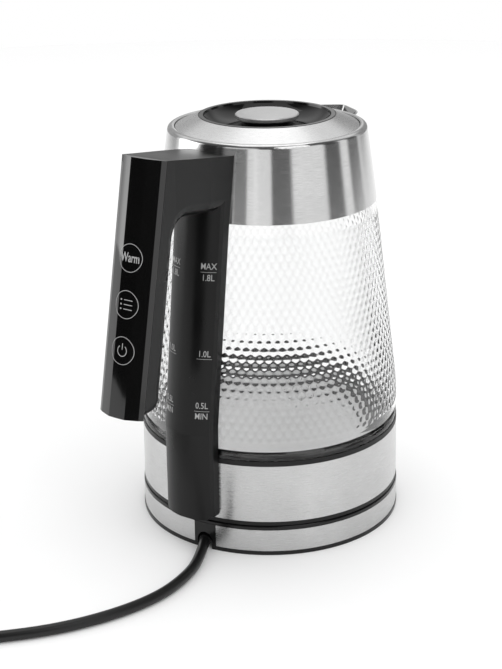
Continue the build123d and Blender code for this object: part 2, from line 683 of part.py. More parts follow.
with BuildPart() as handle_shell:
    add(handle_outer)
    with BuildSketch(Plane.XZ) as cavity_side:
        with BuildLine():
            Polyline(
                (-70, handle_top(70) - WALL),
                (-SEAM_TOP[0], handle_top(SEAM_TOP[0]) - WALL),
                (-SEAM_TOP[0] - 3, handle_top(SEAM_TOP[0]) - WALL),
                (-SEAM_LOW[0] - 3, SEAM_LOW[1] + WALL),
                (-GRIP_LOW_R - 2 * WALL, SEAM_LOW[1] + WALL),
                (-GRIP_HIGH[0] - WALL, GRIP_HIGH[1] + WALL),
                (-70, BRIDGE_IN[1] + 1.3 + WALL),
                close=True,
            )
        make_face()
        fillet(cavity_side.vertices().sort_by_distance((-GRIP_HIGH[0] - WALL, GRIP_HIGH[1] + WALL))[0], 9)
        fillet(cavity_side.vertices().sort_by_distance((-GRIP_LOW_R - 2 * WALL, SEAM_LOW[1] + WALL))[0], 6)
    extrude(amount=HANDLE_HALF - WALL - 2.6, both=True, mode=Mode.SUBTRACT)
    with Locations((-72, 0, 212)):
        Box(5, 14, 12, mode=Mode.SUBTRACT)
    with Locations((-64, 8, 232), (-64, -8, 232)):
        Cylinder(1.25, 14, rotation=(0, 90, 0), mode=Mode.SUBTRACT)
save(handle_shell, "handle_shell")

with BuildPart() as handle_screws:
    for y in (8, -8):
        with Locations(Plane(origin=(-59.9, y, 232), z_dir=(-1, 0, 0))):
            pan_screw(2.6, 0.8, 1.2, 9)
save(handle_screws, "handle_screws")

# Glossy convex touch panel over the whole outer face of the handle.
seam_run = Vector(SEAM_LOW[0] - SEAM_TOP[0], 0, SEAM_TOP[1] - SEAM_LOW[1])
seam_dir = seam_run.normalized()
seam_foot = Vector(-SEAM_LOW[0], 0, SEAM_LOW[1])
PANEL_GAP = 0.25
BEVEL_HALF = 13.2  # outer edge of the panel's long facets
BEVEL_PROUD = 2.0
FLAT_HALF = 5.5  # edge of its almost flat middle
FLAT_PROUD = 5.05


def across(at, out=0.0):
    """A plane square to the seam, at mm up from its foot: local X is across the handle, local Y outwards."""
    upright = Plane(origin=seam_foot + seam_dir * at, x_dir=(0, 1, 0), z_dir=seam_dir)
    return upright.offset(out)


with BuildPart() as panel_zone:
    with BuildSketch(Plane.XZ):
        with BuildLine():
            Polyline(
                (-100, SEAM_LOW[1]),
                (-170, SEAM_LOW[1]),
                (-170, handle_top(170)),
                (-100, handle_top(100)),
                close=True,
            )
        make_face()
    extrude(amount=30, both=True)

with BuildPart() as touch_panel:
    with BuildSketch(across(-15)):
        with BuildLine():
            Polyline(
                (-BEVEL_HALF, BEVEL_PROUD),
                (-HANDLE_HALF, 0.5),
                (-HANDLE_HALF, PANEL_GAP),
                (HANDLE_HALF, PANEL_GAP),
                (HANDLE_HALF, 0.5),
                (BEVEL_HALF, BEVEL_PROUD),
            )
            ThreePointArc((BEVEL_HALF, BEVEL_PROUD), (9.3, 3.6), (FLAT_HALF, FLAT_PROUD))
            ThreePointArc((FLAT_HALF, FLAT_PROUD), (0, PANEL_PROUD), (-FLAT_HALF, FLAT_PROUD))
            ThreePointArc((-FLAT_HALF, FLAT_PROUD), (-9.3, 3.6), (-BEVEL_HALF, BEVEL_PROUD))
        make_face()
    extrude(amount=seam_run.length + 30)
    add(panel_zone, mode=Mode.INTERSECT)
    with BuildSketch(across(3)):
        with BuildLine():
            Line((-11.8, PANEL_GAP), (11.8, PANEL_GAP))
            ThreePointArc((-11.8, PANEL_GAP), (0, PANEL_PROUD - 2.0), (11.8, PANEL_GAP))
        make_face()
    extrude(amount=seam_run.length - 6, mode=Mode.SUBTRACT)
save(touch_panel, "touch_panel")

KEYS_AT = (37.5, 63.4, 89.2)  # keys' middles, up from the foot of the seam
BOARD_DEEP = 5.6
with BuildPart() as touch_board:
    with BuildSketch(across(24)):
        with Locations((0, -BOARD_DEEP)):
            Rectangle(20, 1.2)
    extrude(amount=80)
    for at in (30, 76):
        with BuildSketch(across(at)):
            with Locations((5, -BOARD_DEEP - 1.5)):
                Rectangle(7, 1.8)
        extrude(amount=7)
save(touch_board, "touch_board")

with BuildPart() as touch_springs:
    for at in KEYS_AT:
        with BuildSketch(Plane(origin=seam_foot + seam_dir * at, z_dir=across(0).y_dir).offset(0.6 - BOARD_DEEP)):
            Circle(4.2)
            Circle(3.4, mode=Mode.SUBTRACT)
        extrude(amount=7.8)
save(touch_springs, "touch_springs")

with BuildPart() as key_light_guides:
    for at in KEYS_AT:
        with BuildSketch(Plane(origin=seam_foot + seam_dir * at, z_dir=across(0).y_dir).offset(0.6 - BOARD_DEEP)):
            Circle(8.0)
            Circle(6.8, mode=Mode.SUBTRACT)
        extrude(amount=6.6)
save(key_light_guides, "key_light_guides")


# Spine: a ridged channel cover that runs down the glass and the band from under the bridge.
def spine_section(z, crown, half, front, back):
    """A closed section whose ridge stands crown mm from the axis; front draws the face in."""
    with BuildSketch(Plane.XY.offset(z)) as section:
        with BuildLine():
            Polyline(
                (front - crown + 5.2, half - 0.7),
                (front - crown + 8.0, half),
                (back - crown, half),
                (back - crown, -half),
                (front - crown + 8.0, -half),
                (front - crown + 5.2, 0.7 - half),
            )
            ThreePointArc((front - crown + 5.2, 0.7 - half), (front - crown + 1.2, -half / 2), (front - crown, 0))
            ThreePointArc((front - crown, 0), (front - crown + 1.2, half / 2), (front - crown + 5.2, half - 0.7))
        make_face()
    return section.sketch


SPINE_BEND = 79.0
SPINE_HIGH = 226.0
crown_low = TRIM_R + SPINE_PROUD - 0.2
crown_high = glass_r(SPINE_HIGH) + SPINE_PROUD
spine_steps = ((SPINE_LOW, crown_low), (SPINE_BEND, crown_low), (SPINE_HIGH, crown_high))
with BuildPart() as handle_spine:
    loft(sections=[spine_section(z, crown, SPINE_HALF, 0, 22) for z, crown in spine_steps], ruled=True)
    fillet(handle_spine.edges().group_by(Axis.Z)[0].filter_by(GeomType.LINE), 2.5)
    add(envelope, mode=Mode.SUBTRACT)
    with BuildSketch(Plane.XZ):
        with BuildLine():
            Polyline(
                (-crown_low + 3.6, 30),
                (-crown_low + 3.6, SPINE_BEND),
                (-crown_high + 3.6, SPINE_HIGH),
                (-crown_high + 24, SPINE_HIGH),
                (-crown_low + 24, SPINE_BEND),
                (-crown_low + 24, 30),
                close=True,
            )
        make_face()
    extrude(amount=9, both=True, mode=Mode.SUBTRACT)
    add(handle_outer, mode=Mode.SUBTRACT)
save(handle_spine, "handle_spine")

# Cable from the relay board through the wall, up the spine and along the bridge to the touch board.
with BuildPart() as wire_harness:
    with BuildLine() as wire_path:
        FilletPolyline(
            (-59, 0, 40),
            (-86.5, 0, 40),
            (-86.5, 0, 82),
            (-71.3, 0, 214),
            (-82, 0, 228),
            (-110, 0, 228),
            radius=5,
        )
    with BuildSketch(Plane(origin=(-59, 0, 40), z_dir=(-1, 0, 0))):
        Circle(1.4)
    sweep()
save(wire_harness, "wire_harness")

# ---------------------------------------------------------------- lid
# Conical steel ring with a turned-down rim.
with BuildPart() as lid_ring:
    turned(
        (LID_R - SHEET, LID_EDGE_Z - 2),
        (LID_R, LID_EDGE_Z - 2),
        (LID_R, LID_EDGE_Z - 0.2),
        (LID_R - 0.3, LID_EDGE_Z + 0.15),
        (LID_HOLE_R, LID_TOP),
        (LID_HOLE_R, LID_TOP - SHEET - 0.1),
        (LID_R - SHEET, LID_EDGE_Z - 0.7),
    )
save(lid_ring, "lid_ring")

BOWL_LOW = 246.4
with BuildPart() as lid_bowl:
    with BuildSketch(Plane.XZ):
        with BuildLine():
            Polyline((0, BOWL_LOW), (19, BOWL_LOW))
            ThreePointArc((19, BOWL_LOW), (30.5, BOWL_LOW + 1.7), (38.4, LID_TOP - 1.2))
            Polyline(
                (38.4, LID_TOP - 1.2),
                (38.8, LID_TOP + 0.2),
                (41.2, LID_TOP + 0.2),
                (LID_HOLE_R - 0.1, LID_TOP - 0.3),
                (LID_HOLE_R - 0.1, LID_TOP - 3.4),
                (39.6, LID_TOP - 3.4),
            )
            ThreePointArc((39.6, LID_TOP - 3.4), (31.5, BOWL_LOW - 0.6), (19, BOWL_LOW - 2))
            Polyline((19, BOWL_LOW - 2), (0, BOWL_LOW - 2), (0, BOWL_LOW))
        make_face()
    revolve(axis=Axis.Z)
    with Locations((0, 0, BOWL_LOW)):
        Cylinder(1.9, 10, mode=Mode.SUBTRACT)
save(lid_bowl, "lid_bowl")

with BuildPart() as knob_stem:
    turned(
        (0, BOWL_LOW),
        (STEM_R, BOWL_LOW),
        (STEM_R, KNOB_TOP - 3.6),
        (0, KNOB_TOP - 3.6),
    )
    with Locations((0, 0, BOWL_LOW)):
        Cylinder(1.3, 8, mode=Mode.SUBTRACT)
save(knob_stem, "knob_stem")

with BuildPart() as knob_cap:
    turned(
        (0, KNOB_TOP - 3.6),
        (KNOB_R - 1.2, KNOB_TOP - 3.6),
        (KNOB_R, KNOB_TOP - 2.6),
        (KNOB_R, KNOB_TOP - 0.9),
        (KNOB_R - 0.6, KNOB_TOP - 0.35),
        (KNOB_R - 5, KNOB_TOP - 0.1),
        (0, KNOB_TOP),
    )
save(knob_cap, "knob_cap")

with BuildPart(Plane.XY.offset(BOWL_LOW - 3)) as knob_screw:
    pan_screw(3.4, 0.9, 1.2, 6.5)
save(knob_screw, "knob_screw")

# Plug of the lid: a cup that hangs in the mouth, with a flange under the steel ring.
PLUG_WALL_R = 53.6
PLUG_LOW = 232.0
with BuildPart() as lid_plug:
    turned(
        (0, PLUG_LOW),
        (PLUG_WALL_R, PLUG_LOW),
        (PLUG_WALL_R, LID_EDGE_Z - 3.6),
        (LID_R - SHEET - 0.1, LID_EDGE_Z - 3.6),
        (LID_R - SHEET - 0.1, LID_EDGE_Z - 2.1),
        (PLUG_WALL_R - 2, LID_EDGE_Z - 2.1),
        (PLUG_WALL_R - 2, PLUG_LOW + 2),
        (0, PLUG_LOW + 2),
    )
    with PolarLocations(30, 6):
        with Locations((0, 0, PLUG_LOW + 1)):
            Box(44, 1.4, 9, align=(Align.CENTER, Align.CENTER, Align.MIN))
save(lid_plug, "lid_plug")

with BuildPart() as lid_gasket:
    turned(
        (PLUG_WALL_R + 0.02, 236),
        (PLUG_WALL_R + 0.45, 236),
        (WELL_R - 0.35, 237.2),
        (WELL_R - 0.35, 238),
        (PLUG_WALL_R + 0.45, 239.4),
        (PLUG_WALL_R + 0.02, 239.4),
    )
save(lid_gasket, "lid_gasket")

with BuildPart() as lid_under_plate:
    ring(0, 50, PLUG_LOW - 0.6, PLUG_LOW)
    with PolarLocations(44, 12, start_angle=15):
        Cylinder(1.8, 600, mode=Mode.SUBTRACT)
save(lid_under_plate, "lid_under_plate")
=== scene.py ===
import json
import math
import bpy
import bmesh
from mathutils import Matrix, Vector


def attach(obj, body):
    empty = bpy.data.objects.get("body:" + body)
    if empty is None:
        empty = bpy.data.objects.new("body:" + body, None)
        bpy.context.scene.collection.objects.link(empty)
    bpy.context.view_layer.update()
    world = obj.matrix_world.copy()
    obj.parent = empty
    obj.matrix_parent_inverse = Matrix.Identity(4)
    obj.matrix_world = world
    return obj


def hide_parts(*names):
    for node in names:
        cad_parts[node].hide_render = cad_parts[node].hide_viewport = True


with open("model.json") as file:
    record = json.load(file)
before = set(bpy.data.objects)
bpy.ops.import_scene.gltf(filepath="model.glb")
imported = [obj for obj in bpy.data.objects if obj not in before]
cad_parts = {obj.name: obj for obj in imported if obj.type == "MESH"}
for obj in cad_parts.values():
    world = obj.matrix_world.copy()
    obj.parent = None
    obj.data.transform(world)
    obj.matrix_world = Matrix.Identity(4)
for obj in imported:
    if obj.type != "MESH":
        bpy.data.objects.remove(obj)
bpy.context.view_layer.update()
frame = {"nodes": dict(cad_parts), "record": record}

NODES = frame["nodes"]

# ---------------------------------------------------------------- camera
LENS = 79.89
CAM_AT = Vector((-0.7337, -0.4986, 0.4397))
PITCH, YAW, ROLL = math.radians(20.21), math.radians(-0.74), math.radians(-0.76)
side = Vector((0.562, -0.827, 0.0)).normalized()
away = Vector((0.827, 0.562, 0.0)).normalized()
forward = (
    side * (math.sin(YAW) * math.cos(PITCH)) + away * (math.cos(YAW) * math.cos(PITCH))
    - Vector((0, 0, math.sin(PITCH)))
)
right = side * math.cos(YAW) - away * math.sin(YAW)
up = right.cross(forward)
right_r = right * math.cos(ROLL) + up * math.sin(ROLL)
up_r = up * math.cos(ROLL) - right * math.sin(ROLL)
cam_data = bpy.data.cameras.new("camera")
cam_data.sensor_fit = "VERTICAL"
cam_data.sensor_height = 36.0
cam_data.lens = LENS
cam = bpy.data.objects.new("camera", cam_data)
bpy.context.scene.collection.objects.link(cam)
turn = Matrix((right_r, up_r, -forward)).transposed()
cam.matrix_world = Matrix.Translation(CAM_AT) @ turn.to_4x4()
bpy.context.scene.camera = cam
bpy.context.scene.view_settings.view_transform = "Standard"


# ---------------------------------------------------------------- node helpers
class Tree:
    """Short names for building a material's nodes."""

    def __init__(self, tree):
        self.tree = tree

    def node(self, kind, **values):
        n = self.tree.nodes.new(kind)
        for key, value in values.items():
            setattr(n, key, value)
        return n

    def put(self, value, socket):
        if isinstance(value, bpy.types.NodeSocket):
            self.tree.links.new(value, socket)
        else:
            socket.default_value = value

    def math(self, operation, a, b=0.0, c=0.0, clamp=False):
        n = self.node("ShaderNodeMath", operation=operation, use_clamp=clamp)
        for value, socket in zip((a, b, c), n.inputs):
            self.put(value, socket)
        return n.outputs[0]

    def span(self, value, low, high, to_low=0.0, to_high=1.0, smooth=False):
        n = self.node("ShaderNodeMapRange")
        n.interpolation_type = "SMOOTHSTEP" if smooth else "LINEAR"
        for v, socket in zip((value, low, high, to_low, to_high), n.inputs):
            self.put(v, socket)
        return n.outputs[0]

    def mix(self, share, a, b):
        n = self.node("ShaderNodeMix", data_type="RGBA")
        self.put(share, n.inputs[0])
        self.put(a, n.inputs[6])
        self.put(b, n.inputs[7])
        return n.outputs[2]

    def xyz(self, vector):
        n = self.node("ShaderNodeSeparateXYZ")
        self.tree.links.new(vector, n.inputs[0])
        return n.outputs

    def join(self, x, y, z):
        n = self.node("ShaderNodeCombineXYZ")
        for v, socket in zip((x, y, z), n.inputs):
            self.put(v, socket)
        return n.outputs[0]

    def noise(self, vector, scale, detail=3.0, rough=0.5):
        n = self.node("ShaderNodeTexNoise")
        self.tree.links.new(vector, n.inputs["Vector"])
        n.inputs["Scale"].default_value = scale
        n.inputs["Detail"].default_value = detail
        n.inputs["Roughness"].default_value = rough
        return n.outputs[0]

    def bump(self, height, strength, distance):
        n = self.node("ShaderNodeBump")
        n.inputs["Strength"].default_value = strength
        n.inputs["Distance"].default_value = distance
        self.put(height, n.inputs["Height"])
        return n.outputs[0]


def rgb(level, tint=(1, 1, 1)):
    return (level * tint[0], level * tint[1], level * tint[2], 1.0)


def material(name, base, rough, metal=0.0, **sockets):
    """A Principled material; returns (material, tree helper, shader, object coordinates)."""
    m = bpy.data.materials.new(name)
    m.use_nodes = True
    t = Tree(m.node_tree)
    shader = m.node_tree.nodes["Principled BSDF"]
    shader.inputs["Base Color"].default_value = base
    shader.inputs["Roughness"].default_value = rough
    shader.inputs["Metallic"].default_value = metal
    for key, value in sockets.items():
        shader.inputs[key.replace("_", " ")].default_value = value
    coords = t.node("ShaderNodeTexCoord").outputs["Object"]
    return m, t, shader, coords


def brushed(name, level, rough, mode, grain=1.0, aniso=0.75):
    """Steel with fine lines: round the axis on walls, concentric on flat rings, straight on discs."""
    m, t, shader, coords = material(name, rgb(level), rough, 1.0)
    x, y, z = t.xyz(coords)
    if mode == "straight":
        across = t.join(
            t.math("MULTIPLY", x, 5200.0 * grain), t.math("MULTIPLY", y, 180.0), t.math("MULTIPLY", z, 300.0))
    else:
        angle = t.math("ARCTAN2", y, x)
        radius = t.math("SQRT", t.math("ADD", t.math("MULTIPLY", x, x), t.math("MULTIPLY", y, y)))
        slope = 0.6 if mode == "round" else 1.4
        depth = t.math("ADD", t.math("MULTIPLY", z, 1.0), t.math("MULTIPLY", radius, slope))
        across = t.join(t.math("MULTIPLY", angle, 9.0), t.math("MULTIPLY", depth, 4300.0 * grain), 0.0)
    lines = t.noise(across, 1.0, 4.0, 0.65)
    clouds = t.noise(coords, 16.0, 4.0, 0.55)
    level_in = t.span(lines, 0.25, 0.75, level * 0.80, min(1.0, level * 1.10))
    shade = t.math("MULTIPLY", level_in, t.span(clouds, 0.3, 0.7, 0.90, 1.06))
    t.tree.links.new(t.join(shade, shade, shade), shader.inputs["Base Color"])
    t.tree.links.new(t.span(lines, 0.2, 0.8, rough * 0.8, rough * 1.25), shader.inputs["Roughness"])
    t.tree.links.new(t.bump(lines, 0.25, 0.00004), shader.inputs["Normal"])
    shader.inputs["Anisotropic"].default_value = aniso
    shader.inputs["Anisotropic Rotation"].default_value = 0.25
    tangent = t.node("ShaderNodeTangent", direction_type="RADIAL", axis="Z")
    t.tree.links.new(tangent.outputs[0], shader.inputs["Tangent"])
    return m


def moulded(name, level, rough, grain=900.0, depth=0.00003, tint=(1, 1, 1.02), **sockets):
    """Moulded plastic or rubber: a fine spark-eroded grain, with slightly uneven gloss."""
    m, t, shader, coords = material(name, rgb(level, tint), rough, 0.0, **sockets)
    fine = t.noise(coords, grain, 2.0, 0.6)
    wide = t.noise(coords, 28.0, 3.0, 0.5)
    t.tree.links.new(t.span(wide, 0.3, 0.7, rough * 0.88, rough * 1.14), shader.inputs["Roughness"])
    t.tree.links.new(t.bump(fine, 0.35, depth), shader.inputs["Normal"])
    dark = rgb(level * 0.85, tint)
    light = rgb(level * 1.15, tint)
    t.tree.links.new(t.mix(t.span(wide, 0.3, 0.7), dark, light), shader.inputs["Base Color"])
    return m


def metal(name, base, rough, grain=300.0):
    """Small turned, plated or cast metal parts."""
    m, t, shader, coords = material(name, base, rough, 1.0)
    grain_out = t.noise(coords, grain, 3.0, 0.6)
    t.tree.links.new(t.span(grain_out, 0.3, 0.7, rough * 0.7, rough * 1.4), shader.inputs["Roughness"])
    t.tree.links.new(t.bump(grain_out, 0.2, 0.00002), shader.inputs["Normal"])
    dark = tuple(0.8 * c for c in base[:3]) + (1.0,)
    t.tree.links.new(t.mix(t.span(grain_out, 0.3, 0.7), dark, base), shader.inputs["Base Color"])
    return m


STEEL_WALL = brushed("steel_wall", 0.66, 0.15, "round", aniso=0.88)
STEEL_BAND = brushed("steel_band", 0.60, 0.26, "round", aniso=0.8)
STEEL_RING = brushed("steel_lid", 0.72, 0.28, "flat", aniso=0.5)
STEEL_DISC = brushed("steel_knob", 0.70, 0.34, "straight", aniso=0.0)
STEEL_PLATE = brushed("steel_plate", 0.62, 0.30, "flat", 0.5, aniso=0.3)
SATIN = moulded("satin_black", 0.005, 0.36, Specular_IOR_Level=0.28)
SATIN_HANDLE = moulded("handle_black", 0.005, 0.30, 700.0, Specular_IOR_Level=0.24)
DECK = moulded("deck_black", 0.004, 0.22, Specular_IOR_Level=0.35)
GLOSS = moulded("gloss_black", 0.002, 0.05, 60.0, 0.00001, Coat_Weight=0.25, Coat_Roughness=0.03)
BOWL = moulded("bowl_black", 0.004, 0.09, 200.0, 0.00001, Specular_IOR_Level=0.4)
RUBBER = moulded("silicone_black", 0.006, 0.45, Specular_IOR_Level=0.3)
CORD = moulded("cord_black", 0.006, 0.33, 1200.0, Specular_IOR_Level=0.4)
PALE = moulded("pale_plastic", 0.62, 0.5, tint=(1.0, 0.98, 0.94))
BOARD = moulded("board_green", 0.09, 0.4, tint=(0.2, 1.0, 0.45))
BRASS = metal("brass", (0.72, 0.52, 0.24, 1.0), 0.3)
PLATED = metal("plated", (0.72, 0.72, 0.71, 1.0), 0.22)
ALLOY = metal("alloy", (0.62, 0.62, 0.63, 1.0), 0.4)

LOOKS = {
    "steel": STEEL_WALL, "gloss_black": GLOSS, "satin_black": SATIN, "silicone": RUBBER, "cord_black": CORD,
    "brass": BRASS, "zinc_screw": PLATED, "inner_plastic": PALE, "aluminium": ALLOY, "board_green": BOARD,
}
OWN = {
    "lid_ring": STEEL_RING, "knob_cap": STEEL_DISC, "heating_plate": STEEL_PLATE, "lid_bowl": BOWL,
    "handle_shell": SATIN_HANDLE, "handle_spine": SATIN_HANDLE, "base_shell": DECK,
    "lid_under_plate": STEEL_PLATE, "knob_stem": BOWL, "base_band": STEEL_BAND,
    "base_steel_ring": STEEL_BAND, "spout_filter_mesh": PLATED,
}


def dress(obj, look):
    obj.data.materials.clear()
    obj.data.materials.append(look)


for entry in frame["record"]["subparts"]:
    node, slot = entry["node"], entry["material_slot"]
    if node in NODES and slot in LOOKS or node in OWN:
        dress(NODES[node], OWN.get(node, LOOKS.get(slot)))


def piece(name, verts, faces, look, body, smooth=True, replaces=()):
    """A mesh piece in the row frame."""
    mesh = bpy.data.meshes.new(name)
    mesh.from_pydata(verts, [], faces)
    mesh.validate()
    mesh.update()
    if smooth:
        mesh.shade_smooth()
    obj = bpy.data.objects.new(name, mesh)
    bpy.context.scene.collection.objects.link(obj)
    dress(obj, look)
    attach(obj, body)
    if replaces:
        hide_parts(*replaces)
    return obj


# ---------------------------------------------------------------- power cord
CORD_R = 0.0032
ROUTE = [
    (-0.0826, -0.0070, 0.0046), (-0.1015, -0.0166, CORD_R), (-0.1220, -0.0226, CORD_R),
    (-0.1500, -0.0236, CORD_R), (-0.1816, -0.0136, CORD_R), (-0.2115, 0.0038, CORD_R),
    (-0.2378, 0.0283, CORD_R), (-0.2667, 0.0584, CORD_R),
]
TAIL = [(-0.2624, 0.1086, CORD_R), (-0.2425, 0.1214, CORD_R), (-0.2240, 0.1332, 0.0066)]
COIL_CENTRE = Vector((-0.2356, 0.0817, 0.0))
START, SWEEP, STEPS = 216.8, 801.9, 31
coil = []
for i in range(1, STEPS):
    done = SWEEP * i / STEPS
    a = math.radians(START - done)
    lift = min(1.0, max(0.0, (done - 655) / 45))
    if done <= 690:
        r = 0.0389 - 0.0066 * done / 360
    else:
        r = 0.0389 - 0.0066 * 690 / 360 + 0.0120 * (done - 690) / (SWEEP - 690)
    coil.append((COIL_CENTRE.x + r * math.cos(a), COIL_CENTRE.y + r * math.sin(a), CORD_R + 0.0066 * lift))
cord_curve = bpy.data.curves.new("power_lead", "CURVE")
cord_curve.dimensions = "3D"
spline = cord_curve.splines.new("NURBS")
points = ROUTE + coil + TAIL
spline.points.add(len(points) - 1)
for p, co in zip(spline.points, points):
    p.co = (*co, 1.0)
spline.order_u = 3
spline.use_endpoint_u = True
spline.resolution_u = 12
cord_curve.bevel_depth = CORD_R
cord_curve.bevel_resolution = 6
cord_curve.use_fill_caps = True
cord_obj = bpy.data.objects.new("power_lead", cord_curve)
bpy.context.scene.collection.objects.link(cord_obj)
dress(cord_obj, CORD)
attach(cord_obj, "power_base")
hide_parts("power_cord", "power_cord_tail", "cord_coil")

# ---------------------------------------------------------------- dimpled glass
COLUMNS, ROW = 90, 0.0046
DIMPLE_LOW, DIMPLE_HIGH = 0.0745, 0.1965
CLEAR_TINT = (0.995, 1.0, 1.0)
glass_mat, t, shader, coords = material(
    "jug_glass", rgb(0.97, CLEAR_TINT), 0.012, 0.0, IOR=1.47, Transmission_Weight=1.0)
haze = t.noise(coords, 60.0, 3.0, 0.5)
t.tree.links.new(t.span(haze, 0.3, 0.7, 0.005, 0.03), shader.inputs["Roughness"])
t.tree.links.new(t.bump(t.noise(coords, 38.0, 2.0, 0.5), 0.12, 0.0004), shader.inputs["Normal"])
x, y, z = t.xyz(coords)
column = t.math("MULTIPLY", t.math("ARCTAN2", y, x), COLUMNS / 2.0)
row = t.math("MULTIPLY", t.math("SUBTRACT", z, DIMPLE_LOW), math.pi / (2 * ROW))
lattice = t.math("ABSOLUTE", t.math("MULTIPLY", t.math("COSINE", column), t.math("COSINE", row)))
other = t.math("ABSOLUTE", t.math("MULTIPLY", t.math("SINE", column), t.math("SINE", row)))
dotted = t.math("MAXIMUM", lattice, other)
# Painted shade: the glass's base colour is darker round the edges of the dots, standing in for the dark
# outlines that the dimples' refraction gives clear glass.
dimple_edge_shade = t.mix(t.span(dotted, 0.35, 0.85, 0.0, 1.0, True), rgb(0.90), rgb(0.985, CLEAR_TINT))
below = t.span(z, DIMPLE_LOW - 0.001, DIMPLE_LOW, 1.0, 0.0)
clear = t.math("MAXIMUM", below, t.span(z, DIMPLE_HIGH, DIMPLE_HIGH + 0.001))
t.tree.links.new(t.mix(clear, dimple_edge_shade, rgb(0.97)), shader.inputs["Base Color"])


def run(z, *marks):
    """Reads a straight-line graph given as (height, radius) marks."""
    for (z0, r0), (z1, r1) in zip(marks, marks[1:]):
        if z <= z1:
            return r0 + (r1 - r0) * (z - z0) / (z1 - z0)
    return marks[-1][1]


GLASS_MARKS = ((0.0618, 0.0817), (0.066, 0.0817), (0.083, 0.0814), (0.2040, 0.0669))
PER_COL, PER_ROW = 7, 6
DIMPLE = 0.00042


def dimple(a, z):
    """Height of the domed dots, in staggered rows, at angle a and height z: 0 to 1."""
    if z < DIMPLE_LOW or z > DIMPLE_HIGH:
        return 0.0
    row = (z - DIMPLE_LOW) / ROW
    best = 0.0
    for k in (math.floor(row), math.floor(row) + 1):
        col = a * COLUMNS / math.tau + (0.5 if k % 2 else 0.0)
        dx = (col - round(col)) * math.tau * 0.074 / COLUMNS
        dz = (row - k) * ROW
        d = math.sqrt(dx * dx + dz * dz) / 0.00205
        if d < 1.0:
            best = max(best, (1.0 - d * d) ** 0.8)
    return best


FOOT_BEAD = (  # shallow grooves round the clear foot: height, depth
    (0.0618, 0.0), (0.0640, 0.0), (0.0652, 0.0006), (0.0664, 0.0),
    (0.0676, 0.0008), (0.0690, 0.0), (0.0704, 0.0002), (0.0720, 0.0),
)
levels = [z for z, _ in FOOT_BEAD]
z = DIMPLE_LOW - ROW / 2
while z < DIMPLE_HIGH + ROW / 2:
    levels.append(z)
    z += ROW / PER_ROW
levels += [0.2012, 0.2040]
around = COLUMNS * PER_COL
verts, faces = [], []
for z in levels:
    r0 = run(z, *GLASS_MARKS) - DIMPLE - 0.00005 - (run(z, *FOOT_BEAD) if z < 0.0720 else 0.0)
    for j in range(around):
        a = math.tau * j / around
        r = r0 + DIMPLE * dimple(a, z)
        verts.append((r * math.cos(a), r * math.sin(a), z))
rings = len(levels)
upper = ((0.2040, 0.0657), (0.2041, 0.0657), (0.222, 0.0633))
for z in (0.2041, 0.222):
    for j in range(around):
        a = math.tau * j / around
        r = run(z, *upper)
        verts.append((r * math.cos(a), r * math.sin(a), z))
rings += 2
inner = ((0.222, 0.0606), (0.204, 0.0630), (0.083, 0.0784), (0.066, 0.0787), (0.0618, 0.0787))
for z, r in inner:
    for j in range(around):
        a = math.tau * j / around
        verts.append((r * math.cos(a), r * math.sin(a), z))
rings += len(inner)
for i in range(rings):
    n = (i + 1) % rings
    for j in range(around):
        k = (j + 1) % around
        faces.append((i * around + j, i * around + k, n * around + k, n * around + j))
glass = piece("jug_glass_dimpled", verts, faces, glass_mat, "jug", replaces=["glass_body"])
glass.data.set_sharp_from_angle(angle=math.radians(50))

# ---------------------------------------------------------------- touch panel print
SEAM_FOOT = Vector((-0.1472, 0.0, 0.1105))
SEAM_DIR = Vector((0.0288, 0.0, 0.1416)).normalized()
OUT = Vector((-SEAM_DIR.z, 0.0, SEAM_DIR.x))
FLAT_ARC = ((-0.0055, 0.00505), (0.0, 0.0052), (0.0055, 0.00505))
FACET_ARC = ((0.0055, 0.00505), (0.0093, 0.0036), (0.0132, 0.0020))


def arc_height(x, marks):
    """Height at x of the arc through three points, bulging upwards."""
    (ax, ay), (bx, by), (cx, cy) = marks
    d = 2 * (ax * (by - cy) + bx * (cy - ay) + cx * (ay - by))
    aa, bb, cc = ax * ax + ay * ay, bx * bx + by * by, cx * cx + cy * cy
    ux = (aa * (by - cy) + bb * (cy - ay) + cc * (ay - by)) / d
    uy = (aa * (cx - bx) + bb * (ax - cx) + cc * (bx - ax)) / d
    return uy + math.sqrt(max(0.0, (ax - ux) ** 2 + (ay - uy) ** 2 - (x - ux) ** 2))


def on_panel(across, at, lift=0.00006):
    """A point on the panel's face: across the handle, at metres up from the seam's foot."""
    off = abs(across)
    high = arc_height(off, FLAT_ARC if off < 0.0055 else FACET_ARC)
    return SEAM_FOOT + SEAM_DIR * at + OUT * (high + lift) + Vector((0, -across, 0))


print_mat, t, shader, coords = material("printed_grey", rgb(0.36), 0.4)
t.tree.links.new(t.span(t.noise(coords, 900.0), 0.3, 0.7, 0.3, 0.5), shader.inputs["Roughness"])
speck = t.noise(coords, 2500.0, 2.0)
t.tree.links.new(t.mix(t.span(speck, 0.3, 0.7), rgb(0.30), rgb(0.42)), shader.inputs["Base Color"])


def ribbon(name, paths, width, place, look=None, body="jug"):
    """Thin printed lines: each path is a list of (x, y) points on a surface given by place(x, y)."""
    look = look or print_mat
    verts, faces = [], []
    for path, closed in paths:
        base = len(verts)
        n = len(path)
        for i, (px, py) in enumerate(path):
            before = path[(i - 1) % n] if closed or i else path[i]
            after = path[(i + 1) % n] if closed or i < n - 1 else path[i]
            dx, dy = after[0] - before[0], after[1] - before[1]
            size = math.hypot(dx, dy) or 1.0
            nx, ny = -dy / size * width / 2, dx / size * width / 2
            verts.append(tuple(place(px + nx, py + ny)))
            verts.append(tuple(place(px - nx, py - ny)))
        for i in range(n if closed else n - 1):
            k = (i + 1) % n
            faces.append((base + 2 * i, base + 2 * i + 1, base + 2 * k + 1, base + 2 * k))
    return piece(name, verts, faces, look, body, smooth=False)


